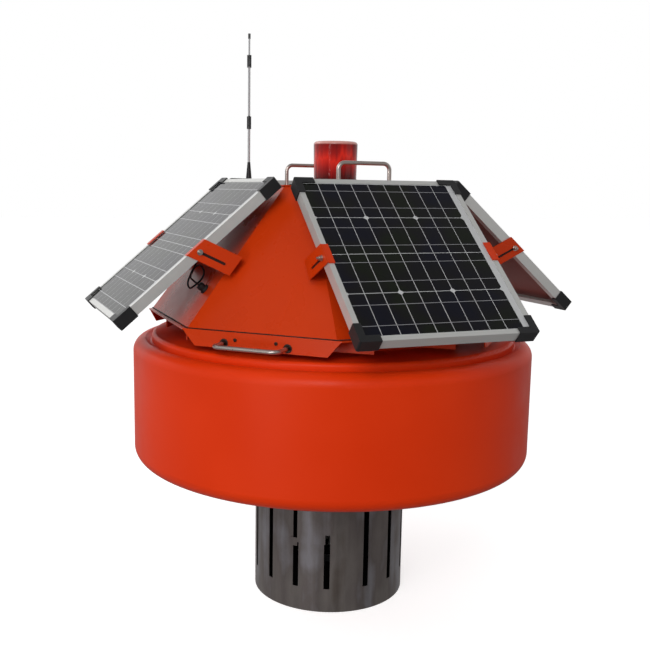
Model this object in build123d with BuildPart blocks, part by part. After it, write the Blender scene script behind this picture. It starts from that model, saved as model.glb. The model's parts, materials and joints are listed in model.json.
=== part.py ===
"""Water quality monitoring buoy.

A foam-filled float carries a folded sheet-metal cabin with four solar panels,
a beacon, an antenna and lifting handles. A slotted stainless cage hangs below
it round the sensors, and the buoy parks on the cage's foot.
Millimetres, +Z up, origin in the middle of the cage's foot, front panel facing -Y.
"""
from build123d import *
from math import atan2, cos, degrees, hypot, radians, sin, sqrt
import os

os.makedirs("parts", exist_ok=True)

# Sensor cage: a rolled and welded tube with cut slots
CAGE_RADIUS = 208
CAGE_WALL = 4
CAGE_HEIGHT = 383
CAGE_FLANGE_WIDTH = 30
CAGE_FLANGE_THICK = 5
SLOT_COUNT = 15
SLOT_WIDTH = 16
SLOT_BOTTOM = 64
SLOT_TOP = 352
SLOT_PITCH = 23.6  # degrees; the weld seam takes the rest of the circle
FIRST_SLOT = -84.9  # degrees from +X
PATCH_THICK = 2.5
PATCH_DROP = 11  # from the cage's top to the plate over its seam
PATCH_HEIGHT = 184
PATCH_EDGE_HEIGHT = 158
PATCH_FOOT_HEIGHT = 22
SEAT_GAP = 0.2  # between curved pieces that seat on one another

# Clamp plate under the float, with its mooring eyes
CLAMP_RADIUS = 300
CLAMP_THICK = 8
EYE_COUNT = 4
EYE_INSET = 30  # from the plate's edge to an eye's middle
EYE_THICK = 12
EYE_WIDTH = 56
EYE_DROP = 36
EYE_HOLE_RADIUS = 11

# Sensor probe inside the cage
SONDE_RADIUS = 38
SONDE_BODY_LENGTH = 185
GUARD_LENGTH = 130
GUARD_WALL = 3
GUARD_SLOT_WIDTH = 22
GUARD_SLOT_COUNT = 6
PROBE_RADIUS = 8
PROBE_LENGTH = 85
PROBE_CIRCLE = 19
COLLAR_RADIUS = 62
COLLAR_HEIGHT = 22

# Float: a rotomoulded drum with a raised ring and a hub under the cabin
FLOAT_RADIUS = 538
FLOAT_HEIGHT = 321
FLOAT_BOTTOM_ROUND = 34
FLOAT_SHOULDER_ROUND = 31
GROOVE_IN = 44  # from the drum's side to the groove
GROOVE_DEPTH = 8
GROOVE_WIDTH = 5
RING_RISE = 15
RING_ROUND = 9
HUB_RADIUS = 345
HUB_RISE = 48.5

# Cabin: distances from the axis to its panel sides and to its corner sides, and
# how far the base plate stands out from the cabin's foot on each
BASE_FLAT = 457
BASE_CORNER = 456.5
FLAT_LEDGE = 11
CORNER_LEDGE = 3
TOP_FLAT = 203
TOP_CORNER = 254
CABIN_HEIGHT = 335
SHEET = 3
SKIRT_DROP = 36
SKIRT_MITRE = 34
TAB_LENGTH = 101
TAB_TURN = 38  # degrees
TAB_INSET = 58  # from the plate's edge to a tab's middle
TAB_PLACES = (-129, 84)
LID_LAP = 3
RETURN_WIDTH = 28
BATTERY_LENGTH = 330
BATTERY_WIDTH = 260
BATTERY_HEIGHT = 175

# U handles on the lid and on the skirt
HANDLE_ROD = 10.5
HANDLE_REACH = 57
HANDLE_BEND = 17
HANDLE_PAD = 8.5
LID_HANDLE_SPAN = 141
LID_HANDLE_PLACE = 180
SKIRT_HANDLE_SPAN = 162
SKIRT_HANDLE_SHIFT = -9  # from the middle of its side
SKIRT_HANDLE_DROP = 24  # below the plate's underside

# Beacon
BEACON_BASE_RADIUS = 61
BEACON_BASE_HEIGHT = 18
BEACON_RADIUS = 59
BEACON_FOOT_RADIUS = 57
BEACON_HEIGHT = 117
BEACON_WALL = 4
BEACON_ROUND = 8
LAMP_RADIUS = 20
LAMP_HEIGHT = 70

# Antenna, on a small plate at the rear left corner of the lid
ANTENNA_PLACE = 183
ANTENNA_PLATE = 62
ANTENNA_PLATE_THICK = 3
ANTENNA_FOOT_RADIUS = 16
ANTENNA_FOOT_HEIGHT = 14
ANTENNA_CONE_TOP = 63
ANTENNA_TIP = 408
WHIP_RADIUS = 3.6
WHIP_TIP_RADIUS = 2.4
SLEEVE_RADIUS = 6

# Solar panel
PANEL_WIDTH = 430
PANEL_LENGTH = 500
PANEL_THICK = 25
PANEL_SLOPE = 40.6  # degrees below the horizontal
PANEL_TOP_REACH = 251.5  # from the axis to the top edge of its face
PANEL_TOP_RISE = 15  # of that edge over the lid
FRAME_WALL = 1.6
FRAME_LIP = 13
FRAME_LIP_THICK = 1.5
FRAME_RETURN = 20
PANE_THICK = 3.2
PANE_GAP = 0.4
BACKSHEET_THICK = 0.7
CELL_THICK = 0.3
CELL_COLUMNS = 9
CELL_ROWS = 4
CELL_WIDTH = 41.5
CELL_LENGTH = 116
CELL_GAP = 1.8
CELL_SHIFT = -9  # the margin is wider on the right
CAP_LEG = 48
CAP_WIDTH = 15
CAP_WALL = 2.6
CAP_ROUND = 5
BOX_WIDTH = 95
BOX_LENGTH = 62
BOX_DEPTH = 17
BOX_PLACE = 148

# Side brackets and their clamp bolts
BRACKET_THICK = 3
BRACKET_GAP = 0.5
BRACKET_HEIGHT = 57
BRACKET_DROOP = 25.5  # degrees below the horizontal, going in
BRACKET_LIP = 2.7
BRACKET_FOOT_IN = 140
BRACKET_SLOT_WIDTH = 6.5
BRACKET_SLOT_LENGTH = 72
BOLT_RADIUS = 3
BOLT_HEAD_FLATS = 10
BOLT_HEAD_THICK = 5
BOLT_TAIL = 6
WASHER_RADIUS = 7
WASHER_THICK = 1.6
BOLT_FIT = 0.25
CLIP_WIDTH = 15
CLIP_THICK = 2.5

# Panel leads and the glands that they enter
LEAD_RADIUS = 3
GLAND_RADIUS = 9
GLAND_LENGTH = 20
GLAND_PLACE = 125
GLAND_DOWN = 317  # along the cabin's face from its top edge
LEAD_BEND = 8
LEAD_PLACE = 25  # where it leaves the junction box, right of the middle
LEAD_RUN = 30  # straight out of the box
# A lead's hanging loop, by hand, between its box and its gland: to the right of the
# side's middle, outward from the axis, up
LEAD_ROUTE = [
    (90, 405, 960), (140, 420, 925), (150, 447, 886),
    (144, 440, 866), (126, 424, 870), (112, 398, 887), (110, 392, 907), (120, 408, 925),
    (135, 430, 911), (137, 436, 894),
]

# Levels, from the floor up
float_z = CAGE_HEIGHT + CLAMP_THICK
shoulder_z = float_z + FLOAT_HEIGHT
ring_z = shoulder_z + RING_RISE
hub_z = ring_z + HUB_RISE
cabin_z = hub_z + SHEET
lid_z = cabin_z + CABIN_HEIGHT
deck_z = lid_z + SHEET

# Sides of the buoy: name and turn about the axis, from the front
SIDES = [("front", 0), ("right", 90), ("rear", 180), ("left", 270)]
HANDS = (-1, 1)


def outward(turn):
    """Unit direction from the axis through a side."""
    return sin(radians(turn)), -cos(radians(turn))


def sideways(turn):
    """Unit direction to the right of a side, seen from outside."""
    return cos(radians(turn)), sin(radians(turn))


def radial_plane(turn):
    """Upright plane through the axis: X outward, Y up, normal to the side's left."""
    out, side = outward(turn), sideways(turn)
    return Plane(origin=(0, 0, 0), x_dir=(*out, 0), z_dir=(-side[0], -side[1], 0))


def side_plane(turn, reach, z, lean=0):
    """Plane on a side: X to the right, normal outward and lifted by lean degrees."""
    out, side = outward(turn), sideways(turn)
    level, rise = cos(radians(lean)), sin(radians(lean))
    return Plane(
        origin=(out[0] * reach, out[1] * reach, z),
        x_dir=(*side, 0),
        z_dir=(out[0] * level, out[1] * level, rise),
    )


def octagon(flat, corner):
    """Corners of the cabin's outline, from its two distances to the axis."""
    half = sqrt(2) * corner - flat
    points = []
    for _, turn in SIDES:
        out, side = outward(turn), sideways(turn)
        points += [
            (out[0] * flat + side[0] * end * half, out[1] * flat + side[1] * end * half)
            for end in HANDS
        ]
    return points


def finish(piece, name):
    """Label a finished piece and write its file."""
    piece.part.label = name
    export_step(piece.part, f"parts/{name}.step")


# Sensor cage
with BuildPart() as sensor_cage:
    with BuildSketch():
        Circle(CAGE_RADIUS)
        Circle(CAGE_RADIUS - CAGE_WALL, mode=Mode.SUBTRACT)
    extrude(amount=CAGE_HEIGHT)
    with BuildSketch(Plane.XY.offset(CAGE_HEIGHT - CAGE_FLANGE_THICK)):
        Circle(CAGE_RADIUS + CAGE_FLANGE_WIDTH)
        Circle(CAGE_RADIUS - CAGE_WALL, mode=Mode.SUBTRACT)
    extrude(amount=CAGE_FLANGE_THICK)
    with Locations((0, 0, (SLOT_BOTTOM + SLOT_TOP) / 2)):
        with PolarLocations(
            CAGE_RADIUS, SLOT_COUNT, FIRST_SLOT, SLOT_PITCH * (SLOT_COUNT - 1), endpoint=True
        ):
            Box(CAGE_WALL * 4, SLOT_WIDTH, SLOT_TOP - SLOT_BOTTOM, mode=Mode.SUBTRACT)
finish(sensor_cage, "sensor_cage")

# Plate welded over the cage between two slots: start and end in slot pitches
# past the twelfth slot, drop from the cage's top, height
patch_foot_drop = PATCH_DROP + PATCH_HEIGHT - PATCH_FOOT_HEIGHT / 2
PATCH_PARTS = [
    (0.06, 0.94, PATCH_DROP, PATCH_HEIGHT),
    (0.94, 1.16, PATCH_DROP, PATCH_EDGE_HEIGHT),
    (-0.16, 0.06, patch_foot_drop, PATCH_FOOT_HEIGHT),
]
patch_slot = FIRST_SLOT + SLOT_PITCH * (SLOT_COUNT - 2)
with BuildPart() as cage_patch:
    for start, end, drop, height in PATCH_PARTS:
        plane = Plane.XZ.rotated((0, 0, patch_slot + SLOT_PITCH * start))
        with BuildSketch(plane):
            with Locations((CAGE_RADIUS + SEAT_GAP, CAGE_HEIGHT - drop)):
                Rectangle(PATCH_THICK, height, align=(Align.MIN, Align.MAX))
        revolve(axis=Axis.Z, revolution_arc=SLOT_PITCH * (end - start))
finish(cage_patch, "cage_patch")

# Clamp plate, and the mooring eyes welded under it
eye_reach = CLAMP_RADIUS - EYE_INSET
with BuildPart() as clamp_plate:
    with BuildSketch(Plane.XY.offset(CAGE_HEIGHT)):
        Circle(CLAMP_RADIUS)
    extrude(amount=CLAMP_THICK)
finish(clamp_plate, "clamp_plate")

with BuildPart() as mooring_eyes:
    for number in range(EYE_COUNT):
        eye_plane = radial_plane(360 / EYE_COUNT * (number + 0.5))
        with BuildSketch(eye_plane.offset(-EYE_THICK / 2)):
            with Locations((eye_reach, CAGE_HEIGHT)):
                Rectangle(EYE_WIDTH, EYE_DROP, align=(Align.CENTER, Align.MAX))
            with Locations((eye_reach, CAGE_HEIGHT - EYE_DROP)):
                Circle(EYE_WIDTH / 2)
                Circle(EYE_HOLE_RADIUS, mode=Mode.SUBTRACT)
        extrude(amount=EYE_THICK)
finish(mooring_eyes, "mooring_eyes")

# Sensor probe: collar, body, slotted guard and probe tips
sonde_z = CAGE_HEIGHT - SONDE_BODY_LENGTH
guard_z = sonde_z - GUARD_LENGTH
with BuildPart() as sonde_collar:
    with BuildSketch(Plane.XY.offset(CAGE_HEIGHT - COLLAR_HEIGHT)):
        Circle(COLLAR_RADIUS)
        Circle(SONDE_RADIUS + SEAT_GAP, mode=Mode.SUBTRACT)
    extrude(amount=COLLAR_HEIGHT)
finish(sonde_collar, "sonde_collar")

with BuildPart() as sonde_body:
    with BuildSketch(Plane.XY.offset(sonde_z)):
        Circle(SONDE_RADIUS)
    extrude(amount=SONDE_BODY_LENGTH)
finish(sonde_body, "sonde_body")

with BuildPart() as sonde_guard:
    with BuildSketch(Plane.XY.offset(guard_z)):
        Circle(SONDE_RADIUS)
    extrude(amount=GUARD_LENGTH)
    with BuildSketch(Plane.XY.offset(guard_z + GUARD_WALL)):
        Circle(SONDE_RADIUS - GUARD_WALL)
    extrude(amount=GUARD_LENGTH, mode=Mode.SUBTRACT)
    with Locations((0, 0, guard_z + GUARD_LENGTH / 2)):
        with PolarLocations(SONDE_RADIUS, GUARD_SLOT_COUNT):
            Box(GUARD_WALL * 4, GUARD_SLOT_WIDTH, GUARD_LENGTH * 0.7, mode=Mode.SUBTRACT)
    with BuildSketch(Plane.XY.offset(guard_z)):
        Circle(PROBE_CIRCLE)
    extrude(amount=GUARD_WALL, mode=Mode.SUBTRACT)
finish(sonde_guard, "sonde_guard")

with BuildPart() as probe_tips:
    with BuildSketch(Plane.XY.offset(sonde_z - PROBE_LENGTH)):
        with PolarLocations(PROBE_CIRCLE, 4):
            Circle(PROBE_RADIUS)
    extrude(amount=PROBE_LENGTH)
finish(probe_tips, "probe_tips")

# Float
with BuildPart() as float_hull:
    with BuildSketch(Plane.XZ):
        with BuildLine():
            groove_z = shoulder_z - GROOVE_DEPTH
            groove_radius = FLOAT_RADIUS - GROOVE_IN
            ring_radius = groove_radius - GROOVE_WIDTH
            ring_wall = (ring_radius, ring_z - RING_ROUND)
            Polyline(
                (0, float_z),
                (FLOAT_RADIUS - FLOAT_BOTTOM_ROUND, float_z),
            )
            RadiusArc(
                (FLOAT_RADIUS - FLOAT_BOTTOM_ROUND, float_z),
                (FLOAT_RADIUS, float_z + FLOAT_BOTTOM_ROUND),
                -FLOAT_BOTTOM_ROUND,
            )
            Line(
                (FLOAT_RADIUS, float_z + FLOAT_BOTTOM_ROUND),
                (FLOAT_RADIUS, shoulder_z - FLOAT_SHOULDER_ROUND),
            )
            RadiusArc(
                (FLOAT_RADIUS, shoulder_z - FLOAT_SHOULDER_ROUND),
                (FLOAT_RADIUS - FLOAT_SHOULDER_ROUND, shoulder_z),
                -FLOAT_SHOULDER_ROUND,
            )
            Polyline(
                (FLOAT_RADIUS - FLOAT_SHOULDER_ROUND, shoulder_z),
                (groove_radius, groove_z),
                (ring_radius, groove_z),
                ring_wall,
            )
            RadiusArc(ring_wall, (ring_radius - RING_ROUND, ring_z), -RING_ROUND)
            Polyline(
                (ring_radius - RING_ROUND, ring_z),
                (HUB_RADIUS, ring_z),
                (HUB_RADIUS, hub_z),
                (0, hub_z),
                (0, float_z),
            )
        make_face()
    revolve(axis=Axis.Z)
finish(float_hull, "float_hull")

# Cabin base: a plate folded down into a mitred skirt on its corner sides, with
# two slanting tabs under each panel side
plate_flat, plate_corner = BASE_FLAT + FLAT_LEDGE, BASE_CORNER + CORNER_LEDGE
skirt_half = sqrt(2) * plate_flat - plate_corner
with BuildPart() as cabin_base:
    with BuildSketch(Plane.XY.offset(hub_z)):
        Polygon(*octagon(plate_flat, plate_corner), align=None)
    extrude(amount=SHEET)
    for _, turn in SIDES:
        with BuildSketch(side_plane(turn - 45, plate_corner, cabin_z)):
            Polygon(
                (-skirt_half, 0),
                (skirt_half, 0),
                (skirt_half - SKIRT_MITRE, -SKIRT_DROP - SHEET),
                (SKIRT_MITRE - skirt_half, -SKIRT_DROP - SHEET),
                align=None,
            )
        extrude(amount=-SHEET)
        with BuildSketch(Plane.XY.offset(hub_z)):
            with Locations(Location((0, 0, 0), (0, 0, turn))):
                with Locations(*[(place, TAB_INSET - plate_flat) for place in TAB_PLACES]):
                    Rectangle(TAB_LENGTH, SHEET, rotation=-TAB_TURN)
        extrude(amount=-SKIRT_DROP)
finish(cabin_base, "cabin_base")

# Cabin shell, open below, with a return under the lid
flat_run = SHEET * hypot(CABIN_HEIGHT, BASE_FLAT - TOP_FLAT) / CABIN_HEIGHT
corner_run = SHEET * hypot(CABIN_HEIGHT, BASE_CORNER - TOP_CORNER) / CABIN_HEIGHT
with BuildPart() as cabin_shell:
    for wall_in, mode in ((0, Mode.ADD), (1, Mode.SUBTRACT)):
        flat_in, corner_in = wall_in * flat_run, wall_in * corner_run
        with BuildSketch(Plane.XY.offset(cabin_z)):
            Polygon(*octagon(BASE_FLAT - flat_in, BASE_CORNER - corner_in), align=None)
        with BuildSketch(Plane.XY.offset(lid_z)):
            Polygon(*octagon(TOP_FLAT - flat_in, TOP_CORNER - corner_in), align=None)
        loft(ruled=True, mode=mode)
    with BuildSketch(Plane.XY.offset(lid_z - SHEET)):
        Polygon(*octagon(TOP_FLAT, TOP_CORNER), align=None)
        Polygon(
            *octagon(TOP_FLAT - RETURN_WIDTH, TOP_CORNER - RETURN_WIDTH),
            align=None,
            mode=Mode.SUBTRACT,
        )
    extrude(amount=SHEET)
finish(cabin_shell, "cabin_shell")

with BuildPart() as cabin_lid:
    with BuildSketch(Plane.XY.offset(lid_z)):
        Polygon(*octagon(TOP_FLAT + LID_LAP, TOP_CORNER + LID_LAP), align=None)
    extrude(amount=SHEET)
finish(cabin_lid, "cabin_lid")

with BuildPart() as battery_box:
    with BuildSketch(Plane.XY.offset(cabin_z)):
        RectangleRounded(BATTERY_LENGTH, BATTERY_WIDTH, 10)
    extrude(amount=BATTERY_HEIGHT)
finish(battery_box, "battery_box")


def u_handle(rod_plane, span):
    """A bent rod on two round pads: plane X along the grip, Y away from the sheet."""
    half = span / 2
    with BuildPart() as handle:
        with BuildLine(rod_plane) as rod:
            FilletPolyline(
                (-half, 0),
                (-half, HANDLE_REACH),
                (half, HANDLE_REACH),
                (half, 0),
                radius=HANDLE_BEND,
            )
        with BuildSketch(Plane(origin=rod.line @ 0, z_dir=rod.line % 0)):
            Circle(HANDLE_ROD / 2)
        sweep(path=rod.line)
        with BuildSketch(Plane(rod_plane.origin, x_dir=rod_plane.x_dir, z_dir=rod_plane.y_dir)):
            with Locations((-half, 0), (half, 0)):
                Circle(HANDLE_PAD)
        extrude(amount=SHEET)
    return handle.part


# Lid handles
for name, place in (("front", -LID_HANDLE_PLACE), ("rear", LID_HANDLE_PLACE)):
    with BuildPart() as lid_handle:
        grip_plane = Plane(origin=(0, place, deck_z), x_dir=(1, 0, 0), z_dir=(0, -1, 0))
        add(u_handle(grip_plane, LID_HANDLE_SPAN))
    finish(lid_handle, f"lid_handle_{name}")

# Skirt handles, one on each corner side
with BuildPart() as skirt_handles:
    for _, turn in SIDES:
        skirt = side_plane(turn - 45, plate_corner, hub_z - SKIRT_HANDLE_DROP)
        middle = skirt.origin + skirt.x_dir * SKIRT_HANDLE_SHIFT
        add(u_handle(Plane(middle, x_dir=skirt.x_dir, z_dir=-skirt.y_dir), SKIRT_HANDLE_SPAN))
finish(skirt_handles, "skirt_handles")

# Beacon
lens_z = deck_z + BEACON_BASE_HEIGHT
lens_top = deck_z + BEACON_HEIGHT
with BuildPart() as beacon_base:
    with BuildSketch(Plane.XY.offset(deck_z)):
        Circle(BEACON_BASE_RADIUS)
    extrude(amount=BEACON_BASE_HEIGHT)
    fillet(beacon_base.edges().group_by(Axis.Z)[-1], 3)
finish(beacon_base, "beacon_base")

with BuildPart() as beacon_lens:
    with BuildSketch(Plane.XY.offset(lens_z)):
        Circle(BEACON_FOOT_RADIUS)
    with BuildSketch(Plane.XY.offset(lens_top)):
        Circle(BEACON_RADIUS)
    loft()
    fillet(beacon_lens.edges().group_by(Axis.Z)[-1], BEACON_ROUND)
    with BuildSketch(Plane.XY.offset(lens_z)):
        Circle(BEACON_FOOT_RADIUS - BEACON_WALL)
    extrude(amount=lens_top - lens_z - 2 * BEACON_WALL, mode=Mode.SUBTRACT)
finish(beacon_lens, "beacon_lens")

with BuildPart() as beacon_lamp:
    with BuildSketch(Plane.XY.offset(lens_z)):
        Circle(LAMP_RADIUS)
    extrude(amount=LAMP_HEIGHT)
finish(beacon_lamp, "beacon_lamp")

# Antenna
antenna_at = (-ANTENNA_PLACE, ANTENNA_PLACE)
foot_z = deck_z + ANTENNA_PLATE_THICK
with BuildPart() as antenna_plate:
    with BuildSketch(Plane.XY.offset(deck_z)):
        with Locations(Location((*antenna_at, 0), (0, 0, 45))):
            with Locations((0, -8)):
                RectangleRounded(ANTENNA_PLATE, ANTENNA_PLATE, 6)
    extrude(amount=ANTENNA_PLATE_THICK)
finish(antenna_plate, "antenna_plate")

with BuildPart() as antenna_foot:
    with BuildSketch(Plane.XY.offset(foot_z)):
        with Locations(antenna_at):
            Circle(ANTENNA_FOOT_RADIUS)
    extrude(amount=ANTENNA_FOOT_HEIGHT)
    with BuildSketch(Plane.XY.offset(foot_z + ANTENNA_FOOT_HEIGHT)):
        with Locations(antenna_at):
            Circle(ANTENNA_FOOT_RADIUS / 2)
    with BuildSketch(Plane.XY.offset(deck_z + ANTENNA_CONE_TOP)):
        with Locations(antenna_at):
            Circle(WHIP_RADIUS + 0.4)
    loft()
finish(antenna_foot, "antenna_foot")

# Whip steps from the cone up: height of the step's top over the lid, radius
WHIP_STEPS = [
    (153, WHIP_RADIUS), (187, SLEEVE_RADIUS), (318, WHIP_RADIUS - 0.4),
    (351, SLEEVE_RADIUS), (394, WHIP_TIP_RADIUS), (ANTENNA_TIP, WHIP_TIP_RADIUS + 1),
]
with BuildPart() as antenna_whip:
    step_z = deck_z + ANTENNA_CONE_TOP
    for top, radius in WHIP_STEPS:
        with BuildSketch(Plane.XY.offset(step_z)):
            with Locations(antenna_at):
                Circle(radius)
        extrude(amount=deck_z + top - step_z)
        step_z = deck_z + top
finish(antenna_whip, "antenna_whip")

# Panel frame of reference: pivot at mid-length and mid-thickness, lean of its normal
panel_lean = 90 - PANEL_SLOPE
down, across = sin(radians(PANEL_SLOPE)), cos(radians(PANEL_SLOPE))
pivot_reach = PANEL_TOP_REACH + PANEL_LENGTH / 2 * across - PANEL_THICK / 2 * down
pivot_z = deck_z + PANEL_TOP_RISE - PANEL_LENGTH / 2 * down - PANEL_THICK / 2 * across
print(f"panel pivot: reach {pivot_reach:.2f}, z {pivot_z:.2f}")

# Cabin's panel face: slope, and how far it lies from the pivot along the brackets
face_length = hypot(CABIN_HEIGHT, BASE_FLAT - TOP_FLAT)
face_slope = degrees(atan2(CABIN_HEIGHT, BASE_FLAT - TOP_FLAT))
face_out = (CABIN_HEIGHT / face_length, (BASE_FLAT - TOP_FLAT) / face_length)
droop = (-cos(radians(BRACKET_DROOP)), -sin(radians(BRACKET_DROOP)))


def panel_point(up, out):
    """Reach and height of a point of the panel's side, from its pivot."""
    return (
        pivot_reach - up * across + out * down,
        pivot_z + up * down + out * across,
    )


def on_cabin_face(point):
    """Where a line along the brackets' droop from a point meets the cabin's panel face."""
    gap = (point[0] - TOP_FLAT) * face_out[0] + (point[1] - lid_z) * face_out[1]
    run = gap / -(droop[0] * face_out[0] + droop[1] * face_out[1])
    return point[0] + droop[0] * run, point[1] + droop[1] * run


# Panel layers through its thickness, from the pivot plane outward
front_out = PANEL_THICK / 2
pane_top = front_out - FRAME_LIP_THICK
cell_top = pane_top - PANE_THICK
sheet_top = cell_top - CELL_THICK
sheet_back = sheet_top - BACKSHEET_THICK
pane_width = PANEL_WIDTH - 2 * (FRAME_WALL + PANE_GAP)
pane_length = PANEL_LENGTH - 2 * (FRAME_WALL + PANE_GAP)
bracket_in = PANEL_WIDTH / 2 + BRACKET_GAP
bracket_out = bracket_in + BRACKET_THICK
slot_run = BRACKET_SLOT_LENGTH - BRACKET_SLOT_WIDTH

for side, turn in SIDES:
    panel = side_plane(turn, pivot_reach, pivot_z, panel_lean)
    upright = radial_plane(turn)

    with BuildPart() as panel_frame:
        with BuildSketch(panel.offset(-front_out)):
            Rectangle(PANEL_WIDTH, PANEL_LENGTH)
        extrude(amount=PANEL_THICK)
        with BuildSketch(panel.offset(-front_out)):
            Rectangle(PANEL_WIDTH - 2 * FRAME_RETURN, PANEL_LENGTH - 2 * FRAME_RETURN)
        extrude(amount=PANEL_THICK, mode=Mode.SUBTRACT)
        with BuildSketch(panel.offset(-front_out + FRAME_LIP_THICK)):
            Rectangle(PANEL_WIDTH - 2 * FRAME_WALL, PANEL_LENGTH - 2 * FRAME_WALL)
        extrude(amount=PANEL_THICK - 2 * FRAME_LIP_THICK, mode=Mode.SUBTRACT)
        with BuildSketch(panel.offset(pane_top)):
            Rectangle(PANEL_WIDTH - 2 * FRAME_LIP, PANEL_LENGTH - 2 * FRAME_LIP)
            Rectangle(
                PANEL_WIDTH - 2 * FRAME_RETURN, PANEL_LENGTH - 2 * FRAME_RETURN, mode=Mode.SUBTRACT
            )
        extrude(amount=FRAME_LIP_THICK, mode=Mode.SUBTRACT)
        with BuildSketch(upright.offset(-PANEL_WIDTH)):
            with Locations((pivot_reach, pivot_z)):
                Circle(BOLT_RADIUS + BOLT_FIT)
        extrude(amount=2 * PANEL_WIDTH, mode=Mode.SUBTRACT)
    finish(panel_frame, f"{side}_panel_frame")

    with BuildPart() as panel_pane:
        with BuildSketch(panel.offset(cell_top)):
            Rectangle(pane_width, pane_length)
        extrude(amount=PANE_THICK)
    finish(panel_pane, f"{side}_panel_pane")

    with BuildPart() as panel_cells:
        with BuildSketch(panel.offset(sheet_back)):
            Rectangle(pane_width, pane_length)
        extrude(amount=BACKSHEET_THICK)
        with BuildSketch(panel.offset(sheet_top)):
            with Locations((CELL_SHIFT, 0)):
                with GridLocations(
                    CELL_WIDTH + CELL_GAP, CELL_LENGTH + CELL_GAP, CELL_COLUMNS, CELL_ROWS
                ):
                    Rectangle(CELL_WIDTH, CELL_LENGTH)
        extrude(amount=CELL_THICK)
    finish(panel_cells, f"{side}_panel_cells")

    with BuildPart() as panel_caps:
        with BuildSketch(panel.offset(-front_out - CAP_WALL)):
            RectangleRounded(PANEL_WIDTH + 2 * CAP_WALL, PANEL_LENGTH + 2 * CAP_WALL, CAP_ROUND)
            Rectangle(PANEL_WIDTH - 2 * CAP_WIDTH, PANEL_LENGTH - 2 * CAP_WIDTH, mode=Mode.SUBTRACT)
            Rectangle(PANEL_WIDTH - 2 * CAP_LEG, PANEL_LENGTH * 2, mode=Mode.SUBTRACT)
            Rectangle(PANEL_WIDTH * 2, PANEL_LENGTH - 2 * CAP_LEG, mode=Mode.SUBTRACT)
        extrude(amount=PANEL_THICK + 2 * CAP_WALL)
        with BuildSketch(panel.offset(-front_out)):
            Rectangle(PANEL_WIDTH, PANEL_LENGTH)
        extrude(amount=PANEL_THICK, mode=Mode.SUBTRACT)
    finish(panel_caps, f"{side}_panel_caps")

    with BuildPart() as junction_box:
        with BuildSketch(panel.offset(sheet_back)):
            with Locations((0, BOX_PLACE)):
                RectangleRounded(BOX_WIDTH, BOX_LENGTH, 5)
        extrude(amount=-BOX_DEPTH)
    finish(junction_box, f"{side}_junction_box")

    with BuildPart() as panel_clamps:
        for hand in HANDS:
            with BuildSketch(panel.offset(front_out)):
                with Locations((hand * (PANEL_WIDTH - CLIP_WIDTH) / 2, 0)):
                    Rectangle(CLIP_WIDTH, BRACKET_HEIGHT)
            extrude(amount=CLIP_THICK)
            washer_at = bracket_out + SEAT_GAP
            inner_at = PANEL_WIDTH / 2 - FRAME_WALL
            outer_at = washer_at + WASHER_THICK
            tail_at = outer_at + BOLT_HEAD_THICK
            # Bolt steps across the frame: start, end, radius, flats across a hexagon or 0
            for start, end, radius, flats in (
                (inner_at - BOLT_HEAD_THICK, inner_at, 0, BOLT_HEAD_FLATS),
                (inner_at, washer_at, BOLT_RADIUS, 0),
                (washer_at, outer_at, WASHER_RADIUS, 0),
                (outer_at, tail_at, 0, BOLT_HEAD_FLATS),
                (tail_at, tail_at + BOLT_TAIL, BOLT_RADIUS, 0),
            ):
                with BuildSketch(upright.offset(-hand * start)):
                    with Locations((pivot_reach, pivot_z)):
                        if flats:
                            RegularPolygon(flats / 2, 6, major_radius=False)
                        else:
                            Circle(radius)
                extrude(amount=-hand * (end - start))
    finish(panel_clamps, f"{side}_panel_clamps")

    with BuildPart() as brackets:
        low_lip = panel_point(-BRACKET_HEIGHT / 2, front_out + BRACKET_LIP)
        high_lip = panel_point(BRACKET_HEIGHT / 2, front_out + BRACKET_LIP)
        low_foot, high_foot = on_cabin_face(low_lip), on_cabin_face(high_lip)
        for hand in HANDS:
            with BuildSketch(upright.offset(-hand * bracket_in)):
                Polygon(low_lip, high_lip, high_foot, low_foot, align=None)
                with Locations(
                    (pivot_reach + droop[0] * slot_run / 2, pivot_z + droop[1] * slot_run / 2)
                ):
                    SlotCenterToCenter(
                        slot_run, BRACKET_SLOT_WIDTH, rotation=BRACKET_DROOP, mode=Mode.SUBTRACT
                    )
            extrude(amount=-hand * BRACKET_THICK)
            foot_mid = ((low_foot[0] + high_foot[0]) / 2, (low_foot[1] + high_foot[1]) / 2)
            foot_length = hypot(high_foot[0] - low_foot[0], high_foot[1] - low_foot[1])
            with BuildSketch(side_plane(turn, *foot_mid, 90 - face_slope)):
                with Locations((hand * (bracket_out + BRACKET_FOOT_IN) / 2, 0)):
                    Rectangle(bracket_out - BRACKET_FOOT_IN, foot_length)
            extrude(amount=BRACKET_THICK)
    finish(brackets, f"{side}_brackets")

# Cable glands on the cabin's panel faces, and the leads that hang from the
# junction boxes and come back into them
gland_at = (
    TOP_FLAT + GLAND_DOWN * cos(radians(face_slope)), lid_z - GLAND_DOWN * sin(radians(face_slope))
)
with BuildPart() as cable_glands:
    for _, turn in SIDES:
        with BuildSketch(side_plane(turn, *gland_at, 90 - face_slope)):
            with Locations((GLAND_PLACE, 0)):
                Circle(GLAND_RADIUS)
        extrude(amount=GLAND_LENGTH)
finish(cable_glands, "cable_glands")

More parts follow.
